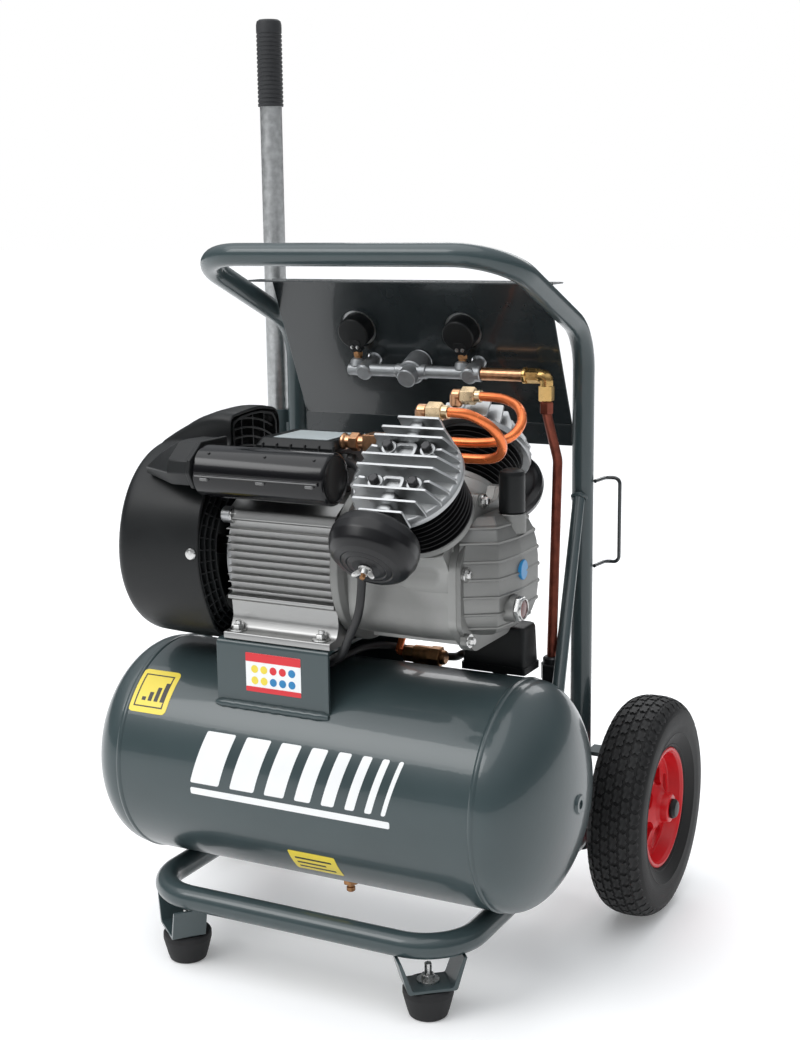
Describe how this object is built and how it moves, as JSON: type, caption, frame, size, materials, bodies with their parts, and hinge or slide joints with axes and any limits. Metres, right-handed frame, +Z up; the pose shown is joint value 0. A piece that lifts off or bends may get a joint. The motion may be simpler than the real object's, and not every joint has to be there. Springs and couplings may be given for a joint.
{
  "type": "hotdog air compressor",
  "caption": "Wheeled air compressor with a V-twin piston pump and an electric motor on a horizontal tank, a tubular frame with a pull handle, and an outlet panel.",
  "frame": {"origin": "on the floor, at the centre of the compressor's footprint", "axes": "+X along the tank towards the pump's crankcase cover, -Y towards the feet and the front cylinder, +Z up"},
  "size_m": [0.612, 0.6056, 1.052],
  "materials": {
    "tank_paint": "glossy slate grey paint",
    "panel_sheet": "dark gloss powder coat",
    "extruded_aluminium": "satin extruded, with fine die lines",
    "cast_aluminium": "fine-grained casting",
    "crankcase_metal": "matte die casting",
    "machined_aluminium": "turned",
    "black_iron": "black paint on casting",
    "moulded_black": "fine moulded texture",
    "gloss_black": "high gloss",
    "red_plastic": "satin moulding",
    "knob_red": "satin moulding",
    "tyre_rubber": "matte rubber",
    "foot_rubber": "matte rubber",
    "grip_rubber": "ribbed matte rubber",
    "lead_rubber": "smooth jacket",
    "zinc_steel": "bright zinc plate",
    "inner_steel": "machined",
    "zinc_casting": "matte zinc casting",
    "brass": "machined",
    "copper": "bright drawn copper",
    "aged_copper": "dull reddish brown",
    "copper_winding": "varnished wire",
    "sight_red": "dark red window in a bright ring",
    "gauge_body": "gloss black case",
    "needle_red": "painted"
  },
  "bodies": {
    "root": {"tank_shell": "tank_paint", "saddle": "tank_paint", "upper_frame": "tank_paint", "skid_frame": "tank_paint", "control_panel": "panel_sheet", "motor_housing": "extruded_aluminium", "head_front": "cast_aluminium", "head_rear": "cast_aluminium", "motor_end_shield": "cast_aluminium", "crankcase": "crankcase_metal", "crankcase_cover": "crankcase_metal", "cylinder_front": "black_iron", "cylinder_rear": "black_iron", "fan_cover": "moulded_black", "terminal_box": "moulded_black", "pressure_switch": "moulded_black", "filter_front": "gloss_black", "filter_rear": "gloss_black", "capacitor_housing": "gloss_black", "foot_left": "foot_rubber", "foot_right": "foot_rubber", "motor_lead": "lead_rubber", "axle": "zinc_steel", "hose_hook": "zinc_steel", "air_manifold": "zinc_casting", "delivery_tee": "brass", "check_valve": "brass", "panel_elbow": "brass", "delivery_pipe_front": "copper", "delivery_pipe_rear": "copper", "delivery_pipe_tank": "copper", "panel_feed_pipe": "aged_copper", "stator": "copper_winding", "sight_glass": "sight_red", "gauge_left": "gauge_body", "gauge_right": "gauge_body"},
    "wheel_left": {"tyre_left": "tyre_rubber", "rim_left": "red_plastic"},
    "wheel_right": {"tyre_right": "tyre_rubber", "rim_right": "red_plastic"},
    "pull_handle": {"pull_tube": "zinc_steel", "handle_grip": "grip_rubber"},
    "clamp": {"clamp_screw": "moulded_black"},
    "rotor_shaft": {"crankshaft": "inner_steel", "rotor": "inner_steel", "cooling_fan": "moulded_black"},
    "front_piston": {"piston_front": "machined_aluminium", "conrod_front": "cast_aluminium"},
    "rear_piston": {"piston_rear": "machined_aluminium", "conrod_rear": "cast_aluminium"},
    "regulator": {"regulator_knob": "moulded_black"},
    "needle_left": {"gauge_needle_left": "needle_red"},
    "needle_right": {"gauge_needle_right": "needle_red"},
    "sleeve_left": {"coupler_sleeve_left": "zinc_steel"},
    "sleeve_right": {"coupler_sleeve_right": "zinc_steel"},
    "switch_knob": {"pressure_switch_knob": "knob_red"},
    "drain": {"drain_screw": "brass"},
    "filler_cap": {"oil_filler_cap": "moulded_black"},
    "nut_front": {"wing_nut_front": "zinc_steel"},
    "nut_rear": {"wing_nut_rear": "zinc_steel"}
  },
  "joints": [
    {"name": "wheel_left_spin", "type": "hinge", "parent": "root", "child": "wheel_left", "pos_m": [-0.2678, 0.17275, 0.13], "axis": [1, 0, 0], "continuous": true},
    {"name": "wheel_right_spin", "type": "hinge", "parent": "root", "child": "wheel_right", "pos_m": [0.2678, 0.17275, 0.13], "axis": [1, 0, 0], "continuous": true},
    {"name": "handle_slide", "type": "slide", "parent": "root", "child": "pull_handle", "axis": [0, 0, 1], "range_m": [-0.2, 0]},
    {"name": "clamp_turn", "type": "hinge", "parent": "root", "child": "clamp", "pos_m": [-0.2226, 0.19715, 0.56], "axis": [0, 1, 0], "range_deg": [0, 720]},
    {"name": "shaft_spin", "type": "hinge", "parent": "root", "child": "rotor_shaft", "pos_m": [0, -0.08285, 0.458], "axis": [1, 0, 0], "continuous": true},
    {"name": "piston_front_slide", "type": "slide", "parent": "root", "child": "front_piston", "axis": [0, -0.7071, 0.7071], "range_m": [-0.04, 0]},
    {"name": "piston_rear_slide", "type": "slide", "parent": "root", "child": "rear_piston", "axis": [0, 0.7071, 0.7071], "range_m": [-0.018, 0.0219]},
    {"name": "regulator_turn", "type": "hinge", "parent": "root", "child": "regulator", "pos_m": [-0.001, 0.14261, 0.65843], "axis": [0, 0.9105, 0.4134], "range_deg": [-540, 540]},
    {"name": "needle_left_turn", "type": "hinge", "parent": "root", "child": "needle_left", "pos_m": [-0.074, 0.11357, 0.69093], "axis": [0, 0.9105, 0.4134], "range_deg": [-270, 0]},
    {"name": "needle_right_turn", "type": "hinge", "parent": "root", "child": "needle_right", "pos_m": [0.062, 0.11357, 0.69093], "axis": [0, 0.9105, 0.4134], "range_deg": [-270, 0]},
    {"name": "sleeve_left_pull", "type": "slide", "parent": "root", "child": "sleeve_left", "axis": [0, 0.9105, 0.4134], "range_m": [-0.005, 0], "stiffness_N_per_m": 600, "springref_m": 0.002},
    {"name": "sleeve_right_pull", "type": "slide", "parent": "root", "child": "sleeve_right", "axis": [0, 0.9105, 0.4134], "range_m": [-0.005, 0], "stiffness_N_per_m": 600, "springref_m": 0.002},
    {"name": "switch_knob_pull", "type": "slide", "parent": "root", "child": "switch_knob", "axis": [0, 0, 1], "range_m": [0, 0.006]},
    {"name": "drain_turn", "type": "hinge", "parent": "root", "child": "drain", "pos_m": [0.009, -0.08285, 0.08], "axis": [0, 0, 1], "range_deg": [0, 720]},
    {"name": "filler_cap_turn", "type": "hinge", "parent": "root", "child": "filler_cap", "pos_m": [0.2055, -0.08285, 0.54], "axis": [0, 0, 1], "range_deg": [0, 720]},
    {"name": "wing_nut_front_turn", "type": "hinge", "parent": "root", "child": "nut_front", "pos_m": [0.142, -0.28295, 0.4912], "axis": [0, -0.7071, -0.7071], "range_deg": [0, 720]},
    {"name": "wing_nut_rear_turn", "type": "hinge", "parent": "root", "child": "nut_rear", "pos_m": [0.12, 0.11725, 0.4912], "axis": [0, 0.7071, -0.7071], "range_deg": [0, 720]}
  ]
}
